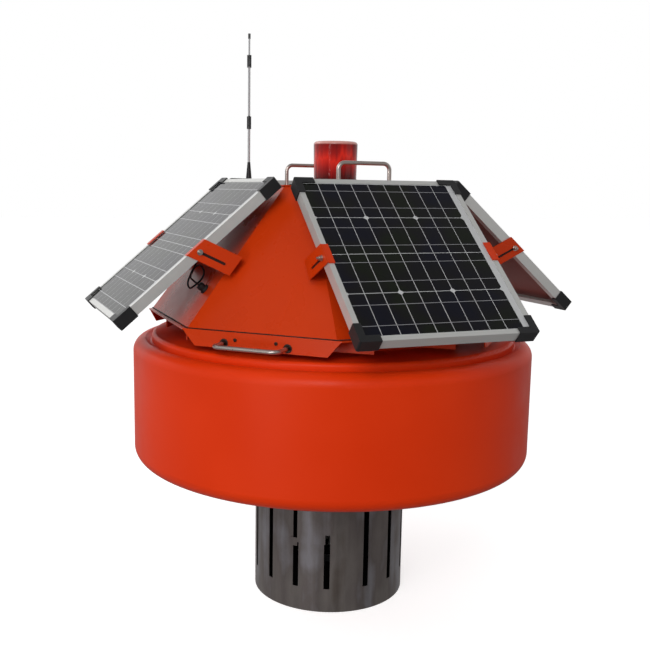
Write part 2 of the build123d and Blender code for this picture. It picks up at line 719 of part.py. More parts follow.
# The lead's ends: straight out of the box's lower wall, and straight into the gland
box_end = [
    (LEAD_PLACE, *panel_point(BOX_PLACE - BOX_LENGTH / 2 - run, sheet_back - BOX_DEPTH / 2))
    for run in (0, LEAD_RUN)
]
gland_end = [
    (GLAND_PLACE, gland_at[0] + face_out[0] * run, gland_at[1] + face_out[1] * run)
    for run in (GLAND_LENGTH * 2, GLAND_LENGTH)
]
for side, turn in SIDES:
    out, right = outward(turn), sideways(turn)
    with BuildPart() as panel_lead:
        with BuildLine() as route:
            FilletPolyline(
                *[
                    (right[0] * place + out[0] * reach, right[1] * place + out[1] * reach, z)
                    for place, reach, z in box_end + LEAD_ROUTE + gland_end
                ],
                radius=LEAD_BEND,
            )
        with BuildSketch(Plane(origin=route.line @ 0, z_dir=route.line % 0)):
            Circle(LEAD_RADIUS)
        sweep(path=route.line)
    finish(panel_lead, f"{side}_panel_lead")
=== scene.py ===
"""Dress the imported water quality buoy: finishes, fine pieces, studio and camera."""
import json
import math

import bpy
from mathutils import Matrix, Vector


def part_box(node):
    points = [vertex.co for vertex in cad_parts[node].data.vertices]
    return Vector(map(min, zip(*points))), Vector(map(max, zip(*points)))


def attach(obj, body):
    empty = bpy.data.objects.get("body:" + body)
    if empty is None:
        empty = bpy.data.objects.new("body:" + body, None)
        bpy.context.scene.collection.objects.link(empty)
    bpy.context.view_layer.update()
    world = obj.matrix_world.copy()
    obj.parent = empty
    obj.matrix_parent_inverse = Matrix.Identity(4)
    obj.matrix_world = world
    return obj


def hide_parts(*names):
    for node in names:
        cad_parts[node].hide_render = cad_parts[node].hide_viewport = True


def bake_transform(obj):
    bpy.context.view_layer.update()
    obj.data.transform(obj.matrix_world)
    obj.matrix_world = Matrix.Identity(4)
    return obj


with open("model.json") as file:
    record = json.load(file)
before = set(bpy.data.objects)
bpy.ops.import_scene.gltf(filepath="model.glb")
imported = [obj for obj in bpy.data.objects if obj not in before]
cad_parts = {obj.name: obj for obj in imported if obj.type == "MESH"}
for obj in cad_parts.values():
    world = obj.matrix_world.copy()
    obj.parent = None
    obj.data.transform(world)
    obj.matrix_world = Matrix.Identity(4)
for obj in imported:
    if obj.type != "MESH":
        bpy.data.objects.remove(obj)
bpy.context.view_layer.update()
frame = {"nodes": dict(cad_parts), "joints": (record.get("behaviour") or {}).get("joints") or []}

nodes = frame["nodes"]
scene = bpy.context.scene
bpy.ops.object.select_all(action="DESELECT")

# Camera: where the photographer stood, a little under the lid's height and to
# the left of the front panel, looking slightly down. The lens and the small
# shift were fitted to the panels' corners.
bpy.ops.object.camera_add(
    location=(-0.9748, -2.2139, 1.1078),
    rotation=(math.radians(81.294), math.radians(-0.889), math.radians(-22.473)),
)
camera = bpy.context.object
camera.data.sensor_width = 36
camera.data.lens = 49.18
camera.data.shift_x = 0.016
scene.camera = camera

# Studio: the buoy stands on a white floor in front of a white backdrop. Only
# the camera sees the two, so the light on the buoy is the daylight's, which is
# brighter behind the buoy than in front of it and dim from below, and the lamps'.
# A black disc of painted shade lies on the floor inside the cage, for the shade under the float.
scene.view_settings.view_transform = "Standard"
FLOOR_SIZE, BACKDROP_RADIUS, SHADE_DISC_RADIUS = 60, 45, 0.205
FLOOR_DROP, SHADE_DISC_DROP = 0.0005, 0.0002  # below the cage's foot


def paper(name, reflected, glow):
    """White studio paper, which the camera sees at one even brightness."""
    material = bpy.data.materials.new(name)
    material.use_nodes = True
    shader = material.node_tree.nodes["Principled BSDF"]
    shader.inputs["Base Color"].default_value = (reflected, reflected, reflected, 1)
    shader.inputs["Roughness"].default_value = 1.0
    shader.inputs["Specular IOR Level"].default_value = 0.0
    shader.inputs["Emission Color"].default_value = (1, 1, 1, 1)
    shader.inputs["Emission Strength"].default_value = glow
    return material


bpy.ops.mesh.primitive_plane_add(size=FLOOR_SIZE, location=(0, 0, -FLOOR_DROP))
floor = bpy.context.object
floor.name = "floor"
floor.data.materials.append(paper("floor_paper", 0.8, 0.62))
bpy.ops.mesh.primitive_uv_sphere_add(radius=BACKDROP_RADIUS)
backdrop = bpy.context.object
backdrop.name = "backdrop"
backdrop.data.materials.append(paper("backdrop_paper", 0.0, 1.0))
backdrop.visible_shadow = False
for stage in (floor, backdrop):
    stage.visible_diffuse = False
    stage.visible_glossy = False
    stage.visible_transmission = False
# Painted shade: a black disc on the floor inside the cage.
bpy.ops.mesh.primitive_circle_add(
    vertices=96, radius=SHADE_DISC_RADIUS, fill_type="NGON", location=(0, 0, -SHADE_DISC_DROP)
)
shade_disc = bpy.context.object
shade_disc.name = "shade_disc"
painted_shade_black = paper("painted_shade_black", 0.01, 0.0)
shade_disc.data.materials.append(painted_shade_black)

# Slot card: one rear slot of the cage lines up with a slot in front of it. A black card of painted
# shade just inside it keeps the backdrop from showing through the pair.
CARD_TURN, CARD_REACH, CARD_WIDTH = 121.5, 0.2025, 0.038
CARD_LOW, CARD_HIGH = 0.055, 0.36
bpy.ops.mesh.primitive_plane_add(
    size=1,
    location=(
        CARD_REACH * math.sin(math.radians(CARD_TURN)),
        -CARD_REACH * math.cos(math.radians(CARD_TURN)),
        (CARD_LOW + CARD_HIGH) / 2,
    ),
    rotation=(math.radians(90), 0, math.radians(CARD_TURN)),
)
card = bpy.context.object
card.name = "card"
card.scale = (CARD_WIDTH, CARD_HIGH - CARD_LOW, 1)
card.data.materials.append(painted_shade_black)

# Daylight: its share by the height looked at, from straight down at 0 to straight
# up at 1, times its share by the depth, from the front to behind the buoy.


def calculate(owner, operation, *values):
    """A maths node over sockets and plain numbers, in a material or the world."""
    tree = owner.node_tree
    node = tree.nodes.new("ShaderNodeMath")
    node.operation = operation
    for number, value in enumerate(values):
        if isinstance(value, (int, float)):
            node.inputs[number].default_value = value
        else:
            tree.links.new(value, node.inputs[number])
    return node.outputs["Value"]


scene.world = bpy.data.worlds.new("daylight")
scene.world.use_nodes = True
sky = scene.world.node_tree
sky.nodes["Background"].inputs["Color"].default_value = (1, 1, 1, 1)
direction = sky.nodes.new("ShaderNodeSeparateXYZ")
sky.links.new(sky.nodes.new("ShaderNodeTexCoord").outputs["Generated"], direction.inputs["Vector"])
heights = sky.nodes.new("ShaderNodeMapRange")
heights.inputs["From Min"].default_value = -1
sky.links.new(direction.outputs["Z"], heights.inputs["Value"])
by_height = sky.nodes.new("ShaderNodeValToRGB")
stops = by_height.color_ramp.elements
stops[0].position, stops[0].color = 0.37, (0.3, 0.3, 0.3, 1)
stops[1].position, stops[1].color = 0.6, (0.85, 0.85, 0.85, 1)
for position, share in ((0.78, 0.85), (0.93, 0.4)):
    stops.new(position).color = (share, share, share, 1)
sky.links.new(heights.outputs["Result"], by_height.inputs["Fac"])
by_depth = sky.nodes.new("ShaderNodeMapRange")
for name, value in (("From Min", -0.5), ("From Max", 0.9), ("To Min", 0.5), ("To Max", 1.2)):
    by_depth.inputs[name].default_value = value
sky.links.new(direction.outputs["Y"], by_depth.inputs["Value"])
brightness = calculate(
    scene.world, "MULTIPLY", by_height.outputs["Color"], by_depth.outputs["Result"]
)
sky.links.new(brightness, sky.nodes["Background"].inputs["Strength"])

# Lamps: name, place, width, height and power, each turned towards the buoy. The
# strip draws lines down the curved sides, and the glint is a line of light that
# the beacon's lens catches.
LAMP_AIM = Vector((0, 0, 0.7))
STUDIO_LIGHTS = [
    ("key", (-2.7, -4.1, 3.1), 2.2, 2.2, 111),
    ("fill", (3.4, -3.0, 1.6), 2.4, 2.4, 6),
    ("back", (-3.0, 3.0, 3.6), 2.4, 2.4, 40),
    ("strip", (-2.9, -2.1, 0.3), 0.28, 1.5, 17),
    ("glint", (-2.9, -2.1, 1.36), 0.6, 0.06, 5),
]
for light_name, light_at, light_width, light_height, light_power in STUDIO_LIGHTS:
    bpy.ops.object.light_add(type="AREA", location=light_at)
    light = bpy.context.object
    light.name = light_name
    light.data.shape = "RECTANGLE"
    light.data.size = light_width
    light.data.size_y = light_height
    light.data.energy = light_power
    aim = LAMP_AIM - Vector(light_at)
    light.rotation_euler = aim.to_track_quat("-Z", "Y").to_euler()

# Float: a rotomoulded polyethylene drum, moulded in an orange-red colour. Its
# skin is satin, with the soft dimples and cloudy shade of a moulded wall and
# fine handling scuffs.
bpy.ops.object.select_all(action="DESELECT")


def new_finish(name, colour, roughness, metallic=0.0, coat=0.0, gloss=0.5):
    """A new material, with its shader's plain values set."""
    material = bpy.data.materials.new(name)
    material.use_nodes = True
    shader = material.node_tree.nodes["Principled BSDF"]
    shader.inputs["Base Color"].default_value = (*colour, 1)
    shader.inputs["Roughness"].default_value = roughness
    shader.inputs["Metallic"].default_value = metallic
    shader.inputs["Specular IOR Level"].default_value = gloss
    shader.inputs["Coat Weight"].default_value = coat
    shader.inputs["Coat Roughness"].default_value = 0.08
    return material


def cloud(material, scale, stretch=(1, 1, 1), detail=3):
    """A noise over the object's own coordinates, as a value from 0 to 1."""
    tree = material.node_tree
    coordinates = tree.nodes.new("ShaderNodeTexCoord")
    mapping = tree.nodes.new("ShaderNodeMapping")
    mapping.inputs["Scale"].default_value = stretch
    noise = tree.nodes.new("ShaderNodeTexNoise")
    noise.inputs["Scale"].default_value = scale
    noise.inputs["Detail"].default_value = detail
    tree.links.new(coordinates.outputs["Object"], mapping.inputs["Vector"])
    tree.links.new(mapping.outputs["Vector"], noise.inputs["Vector"])
    return noise.outputs["Fac"]


def height_share(material, low, high):
    """How far up a point lies between two heights of the buoy, from 0 to 1."""
    tree = material.node_tree
    coordinates = tree.nodes.new("ShaderNodeTexCoord")
    parts = tree.nodes.new("ShaderNodeSeparateXYZ")
    share = tree.nodes.new("ShaderNodeMapRange")
    share.inputs["From Min"].default_value = low
    share.inputs["From Max"].default_value = high
    tree.links.new(coordinates.outputs["Object"], parts.inputs["Vector"])
    tree.links.new(parts.outputs["Z"], share.inputs["Value"])
    return share.outputs["Result"]


def vary_colour(material, value, stops, interpolation="LINEAR"):
    """Colour the shader from a value, by a ramp of (position, colour) stops."""
    tree = material.node_tree
    ramp = tree.nodes.new("ShaderNodeValToRGB")
    ramp.color_ramp.interpolation = interpolation
    ramp.color_ramp.elements.remove(ramp.color_ramp.elements[1])
    for index, (position, colour) in enumerate(stops):
        if index == 0:
            stop = ramp.color_ramp.elements[0]
            stop.position = position
        else:
            stop = ramp.color_ramp.elements.new(position)
        stop.color = (*colour, 1)
    tree.links.new(value, ramp.inputs["Fac"])
    tree.links.new(ramp.outputs["Color"], tree.nodes["Principled BSDF"].inputs["Base Color"])


def vary_roughness(material, value, low, high):
    """Set the shader's roughness from a value, between two limits."""
    tree = material.node_tree
    spread = tree.nodes.new("ShaderNodeMapRange")
    spread.inputs["From Min"].default_value = 0.3
    spread.inputs["From Max"].default_value = 0.7
    spread.inputs["To Min"].default_value = low
    spread.inputs["To Max"].default_value = high
    tree.links.new(value, spread.inputs["Value"])
    tree.links.new(spread.outputs["Result"], tree.nodes["Principled BSDF"].inputs["Roughness"])


def add_bump(material, value, strength, depth):
    """Raise the surface by a value; further calls stack on the earlier ones."""
    tree = material.node_tree
    shader = tree.nodes["Principled BSDF"]
    bump = tree.nodes.new("ShaderNodeBump")
    bump.inputs["Strength"].default_value = strength
    bump.inputs["Distance"].default_value = depth
    tree.links.new(value, bump.inputs["Height"])
    if shader.inputs["Normal"].is_linked:
        tree.links.new(shader.inputs["Normal"].links[0].from_socket, bump.inputs["Normal"])
    tree.links.new(bump.outputs["Normal"], shader.inputs["Normal"])


def dress(node, material):
    """Give a CAD node its finish."""
    nodes[node].data.materials.clear()
    nodes[node].data.materials.append(material)


float_skin = new_finish("float_skin", (0.78, 0.041, 0.003), 0.42, gloss=0.14)
vary_colour(
    float_skin,
    cloud(float_skin, 2.2),
    [(0.3, (0.73, 0.035, 0.002)), (0.55, (0.78, 0.041, 0.003)), (0.8, (0.83, 0.050, 0.005))],
)
vary_roughness(float_skin, cloud(float_skin, 9), 0.36, 0.48)
add_bump(float_skin, cloud(float_skin, 5, detail=1), 0.2, 0.004)
add_bump(float_skin, cloud(float_skin, 260), 0.08, 0.0005)
dress("float_hull", float_skin)

# Cabin: folded and welded 3 mm sheet, powder coated orange, with the slight
# waviness of a large thin panel and a glossy skin that mirrors what is near.
cabin_paint = new_finish("cabin_paint", (0.58, 0.034, 0.002), 0.3, gloss=0.18)
vary_colour(
    cabin_paint,
    cloud(cabin_paint, 3),
    [(0.3, (0.56, 0.036, 0.001)), (0.7, (0.63, 0.045, 0.004))],
)
vary_roughness(cabin_paint, cloud(cabin_paint, 14), 0.24, 0.36)
add_bump(cabin_paint, cloud(cabin_paint, 4, detail=1), 0.2, 0.004)
add_bump(cabin_paint, cloud(cabin_paint, 300), 0.03, 0.0002)
for node in ("cabin_base", "cabin_shell", "cabin_lid"):
    dress(node, cabin_paint)
SIDE_TURNS = {"front": 0, "right": 90, "rear": 180, "left": 270}  # degrees about the axis
CORNER_TURNS = (45, 135, 225, 315)
for side in SIDE_TURNS:
    dress(f"{side}_brackets", cabin_paint)

# Cabin seal: black sealant in the joint between the shell and its base, squeezed
# out as a thin line all round where the shell sits down on it.
SEAL_PROUD = 0.0006
SEAL_HEIGHT = 0.0022
seal_black = new_finish("seal_black", (0.02, 0.010, 0.008), 0.6, gloss=0.3)
vary_roughness(seal_black, cloud(seal_black, 120), 0.5, 0.7)
shell_low, shell_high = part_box("cabin_shell")
bpy.ops.mesh.primitive_cylinder_add(
    vertices=8,
    radius=(shell_high.x + SEAL_PROUD) / math.cos(math.pi / 8),
    depth=SEAL_HEIGHT,
    rotation=(0, 0, math.pi / 8),
    location=(0, 0, shell_low.z + SEAL_HEIGHT / 2),
)
seal = bpy.context.object


def deselect_mesh(kind):
    """Empty the selection, with edit mode set to pick vertices, edges or faces."""
    bpy.ops.object.mode_set(mode="EDIT")
    bpy.ops.mesh.select_mode(type=kind)
    bpy.ops.mesh.select_all(action="DESELECT")
    bpy.ops.object.mode_set(mode="OBJECT")


def pick(piece, faces=None, edges=None):
    """Enter edit mode with the faces or edges of a piece that pass a test."""
    deselect_mesh("FACE" if faces else "EDGE")
    if faces:
        for face in piece.data.polygons:
            face.select = faces(face)
    else:
        points = piece.data.vertices
        for edge in piece.data.edges:
            edge.select = edges(*(points[index].co for index in edge.vertices))
    bpy.ops.object.mode_set(mode="EDIT")


def select_only(piece):
    """Select one piece and make it the active one."""
    bpy.ops.object.select_all(action="DESELECT")
    piece.select_set(True)
    bpy.context.view_layer.objects.active = piece


def settle(piece, name, material):
    """Name a shaped piece, put its place in its mesh and give it its finish."""
    if bpy.context.object.mode == "EDIT":
        bpy.ops.object.mode_set(mode="OBJECT")
    select_only(piece)
    bpy.ops.object.transform_apply(location=True, rotation=True, scale=True)
    bpy.ops.object.shade_smooth_by_angle(angle=math.radians(35))
    piece.name = name
    piece.data.materials.append(material)


pick(seal, faces=lambda face: abs(face.normal.z) > 0.9)
bpy.ops.mesh.inset(thickness=SEAL_HEIGHT * 2)
bpy.ops.mesh.delete(type="FACE")
pick(seal, edges=lambda a, b: abs(a.z - b.z) < 1e-5 and a.length > shell_high.x)
bpy.ops.mesh.bevel(offset=SEAL_PROUD * 0.8, segments=2)
settle(seal, "cabin_seal", seal_black)
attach(seal, "buoy")

# Skirt screws: two black button-head screws over each skirt handle, which hold
# the bent rod's backing strap behind the sheet.
SCREW_RADIUS = 0.0042
SCREW_HEIGHT = 0.0024
SCREW_SPREAD = 0.052  # each side of the handle's middle
SCREW_Z = 0.7607
HANDLE_SHIFT = -0.009  # of a handle's middle, from its side's
CORNER_INSET = 0.0085  # the corner sides stand this much nearer to the axis
skirt_reach = -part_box("cabin_base")[0].x - CORNER_INSET


def set_copy(piece, name, matrix, body):
    """A copy of a piece with its own mesh, set in place and riding on a body."""
    copy = piece.copy()
    copy.data = piece.data.copy()
    copy.name = name
    scene.collection.objects.link(copy)
    copy.data.transform(matrix)
    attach(copy, body)
    return copy


def drop(piece):
    """Remove the pattern piece that the copies came from."""
    bpy.data.objects.remove(piece)


def side_matrix(turn, reach, height, shift=0.0):
    """Stand a piece on a side of the buoy: its Z outward, its X to the right."""
    out = Vector((math.sin(math.radians(turn)), -math.cos(math.radians(turn)), 0))
    right = Vector((math.cos(math.radians(turn)), math.sin(math.radians(turn)), 0))
    matrix = Matrix((right, out.cross(right), out)).transposed().to_4x4()
    matrix.translation = out * reach + right * shift + Vector((0, 0, height))
    return matrix


dark_steel = new_finish("dark_steel", (0.035, 0.022, 0.018), 0.42, metallic=0.6)
vary_roughness(dark_steel, cloud(dark_steel, 300), 0.35, 0.5)
bpy.ops.mesh.primitive_cylinder_add(
    vertices=24, radius=SCREW_RADIUS, depth=SCREW_HEIGHT, location=(0, 0, SCREW_HEIGHT / 2)
)
screw = bpy.context.object
pick(screw, faces=lambda face: face.normal.z > 0.9)
bpy.ops.mesh.bevel(offset=SCREW_HEIGHT * 0.45, segments=3)
pick(screw, faces=lambda face: face.normal.z > 0.99)
bpy.ops.mesh.inset(thickness=SCREW_RADIUS * 0.18)
bpy.ops.mesh.extrude_region_move(TRANSFORM_OT_translate={"value": (0, 0, -SCREW_HEIGHT * 0.6)})
settle(screw, "screw", dark_steel)
for turn in CORNER_TURNS:
    for number, shift in enumerate((-SCREW_SPREAD, SCREW_SPREAD)):
        place = side_matrix(turn, skirt_reach, SCREW_Z, HANDLE_SHIFT + shift)
        set_copy(screw, f"skirt_screw_{turn}_{number}", place, "buoy")

# Lid screws: the same screws, three to a side near the lid's folded edge, without
# the two whose places the antenna's plate covers.
LID_SCREW_SPREAD, LID_SCREW_REACH = 0.155, 0.186
COVERED_SCREWS = ((180, 2), (270, 0))  # the side's turn, and the screw's number
lid_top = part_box("cabin_lid")[1].z


def about_axis(turn):
    """A turn in degrees about the buoy's upright axis."""
    return Matrix.Rotation(math.radians(turn), 4, "Z")


for turn in SIDE_TURNS.values():
    for number, along in enumerate((-LID_SCREW_SPREAD, 0, LID_SCREW_SPREAD)):
        if (turn, number) in COVERED_SCREWS:
            continue
        place = about_axis(turn) @ Matrix.Translation((along, -LID_SCREW_REACH, lid_top))
        set_copy(screw, f"lid_screw_{turn}_{number}", place, "buoy")
drop(screw)

# Cage and clamp plate: rolled stainless sheet with plasma-cut slots, streaked by brushing along the
# tube and tinted brown and purple round the welds. The inside of the tube is painted near-black:
# painted shade, for the shade inside the slotted tube.
CAGE_INSIDE = 0.2065  # from the axis: the painted shade covers what is nearer to it
STEEL_TINTS = [
    (0.28, (0.15, 0.118, 0.100)),
    (0.42, (0.25, 0.222, 0.208)),
    (0.52, (0.20, 0.172, 0.165)),
    (0.62, (0.32, 0.305, 0.325)),
    (0.78, (0.28, 0.265, 0.285)),
]


def blend_values(material, first, second, share):
    """Two values mixed, with that share of the second."""
    tree = material.node_tree
    mix = tree.nodes.new("ShaderNodeMix")
    mix.inputs["Factor"].default_value = share
    tree.links.new(first, mix.inputs["A"])
    tree.links.new(second, mix.inputs["B"])
    return mix.outputs["Result"]


def from_axis(material):
    """How far a point lies from the buoy's upright axis, in metres."""
    tree = material.node_tree
    flatten = tree.nodes.new("ShaderNodeVectorMath")
    flatten.operation = "MULTIPLY"
    flatten.inputs[1].default_value = (1, 1, 0)
    reach = tree.nodes.new("ShaderNodeVectorMath")
    reach.operation = "LENGTH"
    coordinates = tree.nodes.new("ShaderNodeTexCoord")
    tree.links.new(coordinates.outputs["Object"], flatten.inputs[0])
    tree.links.new(flatten.outputs["Vector"], reach.inputs[0])
    return reach.outputs["Value"]


cage_steel = new_finish("cage_steel", (0.30, 0.27, 0.25), 0.42, metallic=0.85)
blotches = cloud(cage_steel, 9, stretch=(1, 1, 0.6), detail=5)
streaks = cloud(cage_steel, 22, stretch=(1, 1, 0.05), detail=3)
vary_colour(cage_steel, blend_values(cage_steel, blotches, streaks, 0.45), STEEL_TINTS)
vary_roughness(cage_steel, cloud(cage_steel, 40, stretch=(1, 1, 0.05)), 0.36, 0.55)
add_bump(cage_steel, cloud(cage_steel, 90, stretch=(1, 1, 0.04)), 0.12, 0.0006)
# Painted shade: the steel nearer the axis than CAGE_INSIDE, the tube's inside, is drawn as
# near-black diffuse.
steel_with_painted_shade = cage_steel.copy()
steel_with_painted_shade.name = "steel_with_painted_shade"
shaded_steel_tree = steel_with_painted_shade.node_tree
is_outside = calculate(steel_with_painted_shade, "GREATER_THAN", from_axis(steel_with_painted_shade), CAGE_INSIDE)
steel_shader = shaded_steel_tree.nodes["Principled BSDF"]
inside_shade = shaded_steel_tree.nodes.new("ShaderNodeBsdfDiffuse")
inside_shade.inputs["Color"].default_value = (0.006, 0.006, 0.006, 1)
either = shaded_steel_tree.nodes.new("ShaderNodeMixShader")
shaded_steel_tree.links.new(is_outside, either.inputs["Fac"])
shaded_steel_tree.links.new(inside_shade.outputs["BSDF"], either.inputs[1])
shaded_steel_tree.links.new(steel_shader.outputs["BSDF"], either.inputs[2])
shaded_steel_tree.links.new(
    either.outputs["Shader"], shaded_steel_tree.nodes["Material Output"].inputs["Surface"]
)
dress("sensor_cage", steel_with_painted_shade)
for node in ("cage_patch", "clamp_plate", "mooring_eyes"):
    dress(node, cage_steel)

# Flange weld: the bead where the cage's tube meets its flange, run by hand in
# short overlapping pools.
BEAD_RADIUS = 0.0028
CAGE_RADIUS = 0.208
FLANGE_UNDER = 0.378  # height of the flange's underside
bead_steel = new_finish("bead_steel", (0.22, 0.19, 0.18), 0.35, metallic=0.9)
vary_colour(
    bead_steel,
    cloud(bead_steel, 30),
    [(0.35, (0.10, 0.08, 0.09)), (0.6, (0.26, 0.23, 0.2))],
)
add_bump(bead_steel, cloud(bead_steel, 220), 0.5, 0.001)
bpy.ops.mesh.primitive_torus_add(
    major_segments=180,
    minor_segments=8,
    major_radius=CAGE_RADIUS + BEAD_RADIUS * 0.4,
    minor_radius=BEAD_RADIUS,
    location=(0, 0, FLANGE_UNDER - BEAD_RADIUS * 0.4),
)
flange_bead = bpy.context.object
bpy.ops.object.mode_set(mode="EDIT")
bpy.ops.mesh.select_all(action="SELECT")
bpy.ops.transform.vertex_random(offset=0.0005, seed=4)
settle(flange_bead, "flange_bead", bead_steel)
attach(flange_bead, "buoy")

# Eye welds: the steel fillet round the root of each mooring eye, which fixes it to
# the underside of the clamp plate.
EYE_REACH = 0.270
EYE_LENGTH, EYE_THICK, EYE_WELD = 0.056, 0.012, 0.003
plate_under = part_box("clamp_plate")[0].z
bpy.ops.mesh.primitive_plane_add(size=1)
eye_bead = bpy.context.object
eye_bead.scale = (EYE_THICK + 2 * EYE_WELD, EYE_LENGTH + 2 * EYE_WELD, 1)
bpy.ops.object.transform_apply(location=False, rotation=False, scale=True)
pick(eye_bead, faces=lambda face: True)
bpy.ops.mesh.inset(thickness=EYE_WELD * 1.1)
bpy.ops.mesh.delete(type="FACE")
pick(eye_bead, faces=lambda face: True)
bpy.ops.mesh.extrude_region_move(TRANSFORM_OT_translate={"value": (0, 0, -EYE_WELD)})
pick(eye_bead, edges=lambda a, b: min(a.z, b.z) < -EYE_WELD * 0.9)
bpy.ops.mesh.bevel(offset=EYE_WELD * 0.45, segments=3)
bpy.ops.mesh.select_all(action="SELECT")
bpy.ops.mesh.subdivide(number_cuts=3)
bpy.ops.transform.vertex_random(offset=0.0002, seed=7)
bpy.ops.mesh.normals_make_consistent(inside=False)
settle(eye_bead, "eye_bead", bead_steel)
for turn in CORNER_TURNS:
    place = about_axis(turn) @ Matrix.Translation((0, -EYE_REACH, plate_under))
    set_copy(eye_bead, f"eye_bead_{turn}", place, "buoy")
drop(eye_bead)

# Lid handles and antenna plate: bent stainless rod on round pads, and a square
# plate with rounded corners, satin polished and fixed on top of the lid.
handle_steel = new_finish("handle_steel", (0.46, 0.40, 0.37), 0.3, metallic=0.9)
vary_roughness(handle_steel, cloud(handle_steel, 60), 0.26, 0.36)
add_bump(handle_steel, cloud(handle_steel, 120), 0.03, 0.0002)
for node in ("lid_handle_front", "lid_handle_rear", "antenna_plate"):
    dress(node, handle_steel)

# Skirt handles: the same rod, on pads at its roots, coloured dark brown within about 12 mm of the
# skirt. How far out a point lies towards its corner side tells root from grip.
ROOT_REACH, ROOT_FADE = 0.012, 0.003  # from the skirt
dark_root_steel = handle_steel.copy()
dark_root_steel.name = "dark_root_steel"


def from_middle(material):
    """How far a point lies from the buoy's middle, along X and along Y."""
    tree = material.node_tree
    place = tree.nodes.new("ShaderNodeSeparateXYZ")
    coordinates = tree.nodes.new("ShaderNodeTexCoord")
    tree.links.new(coordinates.outputs["Object"], place.inputs["Vector"])
    return [calculate(material, "ABSOLUTE", place.outputs[axis]) for axis in "XY"]


both_ways = calculate(dark_root_steel, "ADD", *from_middle(dark_root_steel))
corner_reach = calculate(dark_root_steel, "MULTIPLY", both_ways, math.sqrt(0.5))
root_share = dark_root_steel.node_tree.nodes.new("ShaderNodeMapRange")
root_share.inputs["From Min"].default_value = skirt_reach + ROOT_REACH - ROOT_FADE
root_share.inputs["From Max"].default_value = skirt_reach + ROOT_REACH + ROOT_FADE
dark_root_steel.node_tree.links.new(corner_reach, root_share.inputs["Value"])
vary_colour(
    dark_root_steel,
    root_share.outputs["Result"],
    [(0.0, (0.05, 0.028, 0.022)), (1.0, (0.46, 0.40, 0.37))],
)
dress("skirt_handles", dark_root_steel)

# Panel clips: orange painted straps over the panels' frames. Their bolts, on the
# line of each panel's pivot, stand past the brackets and are bright steel.
clip_paint = new_finish("clip_paint", (0.60, 0.038, 0.003), 0.32, gloss=0.18)
BRACKET_MARGIN = 0.0002
bracket_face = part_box("front_brackets")[1].x - BRACKET_MARGIN
off_centre = calculate(clip_paint, "MINIMUM", *from_middle(clip_paint))
past_bracket = calculate(clip_paint, "GREATER_THAN", off_centre, bracket_face)
clip_shader = clip_paint.node_tree.nodes["Principled BSDF"]
clip_paint.node_tree.links.new(past_bracket, clip_shader.inputs["Metallic"])
vary_colour(
    clip_paint,
    past_bracket,
    [(0.0, (0.60, 0.038, 0.003)), (0.5, (0.50, 0.45, 0.42))],
    "CONSTANT",
)
add_bump(clip_paint, cloud(clip_paint, 420), 0.05, 0.0003)
for side in SIDE_TURNS:
    dress(f"{side}_panel_clamps", clip_paint)

# Handle washers: a dark steel washer against the skirt round each root of the skirt
# handles, a little wider than the handle's own pad.
HANDLE_SPAN, HANDLE_Z = 0.162, 0.7517
WASHER_RADIUS, WASHER_BORE, WASHER_THICK = 0.0105, 0.006, 0.0009
bpy.ops.mesh.primitive_cylinder_add(
    vertices=40, radius=WASHER_RADIUS, depth=WASHER_THICK, location=(0, 0, WASHER_THICK / 2)
)
washer = bpy.context.object
pick(washer, faces=lambda face: abs(face.normal.z) > 0.9)
bpy.ops.mesh.inset(thickness=WASHER_RADIUS - WASHER_BORE)
bpy.ops.mesh.bridge_edge_loops()
pick(washer, edges=lambda a, b: abs(a.z - b.z) < 1e-6 and a.xy.length > WASHER_RADIUS * 0.99)
bpy.ops.mesh.bevel(offset=WASHER_THICK * 0.3, segments=2)
settle(washer, "washer", dark_steel)
for turn in CORNER_TURNS:
    for number, shift in enumerate((-HANDLE_SPAN / 2, HANDLE_SPAN / 2)):
        place = side_matrix(turn, skirt_reach, HANDLE_Z, HANDLE_SHIFT + shift)
        set_copy(washer, f"handle_washer_{turn}_{number}", place, "buoy")
drop(washer)

# Black plastic: the moulded corner caps, junction boxes, glands, beacon base,
# antenna foot, probe and battery box.
black_plastic = new_finish("black_plastic", (0.010, 0.010, 0.011), 0.45, gloss=0.35)
vary_roughness(black_plastic, cloud(black_plastic, 50), 0.38, 0.52)
add_bump(black_plastic, cloud(black_plastic, 500), 0.1, 0.0003)
for node in ("beacon_base", "cable_glands", "antenna_foot", "sonde_guard", "sonde_body",
             "sonde_collar", "battery_box"):
    dress(node, black_plastic)
for side in SIDE_TURNS:
    dress(f"{side}_panel_caps", black_plastic)
    dress(f"{side}_junction_box", black_plastic)

# Beacon: a red polycarbonate lens, fluted inside to spread the light, over a pale lamp column. Its
# colour holds painted light and shade, brightest at mid height and dark towards the bottom and top,
# and its thick rim is painted pale as a painted reflection of the sky.
lens_red = new_finish("lens_red", (0.75, 0.014, 0.008), 0.08, gloss=0.35)
lens_shader = lens_red.node_tree.nodes["Principled BSDF"]
lens_shader.inputs["Transmission Weight"].default_value = 0.07
lens_shader.inputs["IOR"].default_value = 1.5
lens_low, lens_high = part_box("beacon_lens")
# Painted light and shade: the lens colour runs from dark at the bottom to bright red at mid height
# and dark again near the top, with the flutes' streaks over it.
lens_ribs = cloud(lens_red, 75, stretch=(1, 1, 0.03), detail=1)
lens_share = height_share(lens_red, lens_low.z, lens_high.z)
vary_colour(
    lens_red,
    blend_values(lens_red, lens_share, lens_ribs, 0.42),
    [
        (0.20, (0.09, 0.001, 0.001)), (0.34, (0.33, 0.005, 0.004)), (0.5, (0.76, 0.022, 0.008)),
        (0.62, (0.38, 0.007, 0.005)), (0.76, (0.19, 0.003, 0.003)),
    ],
)
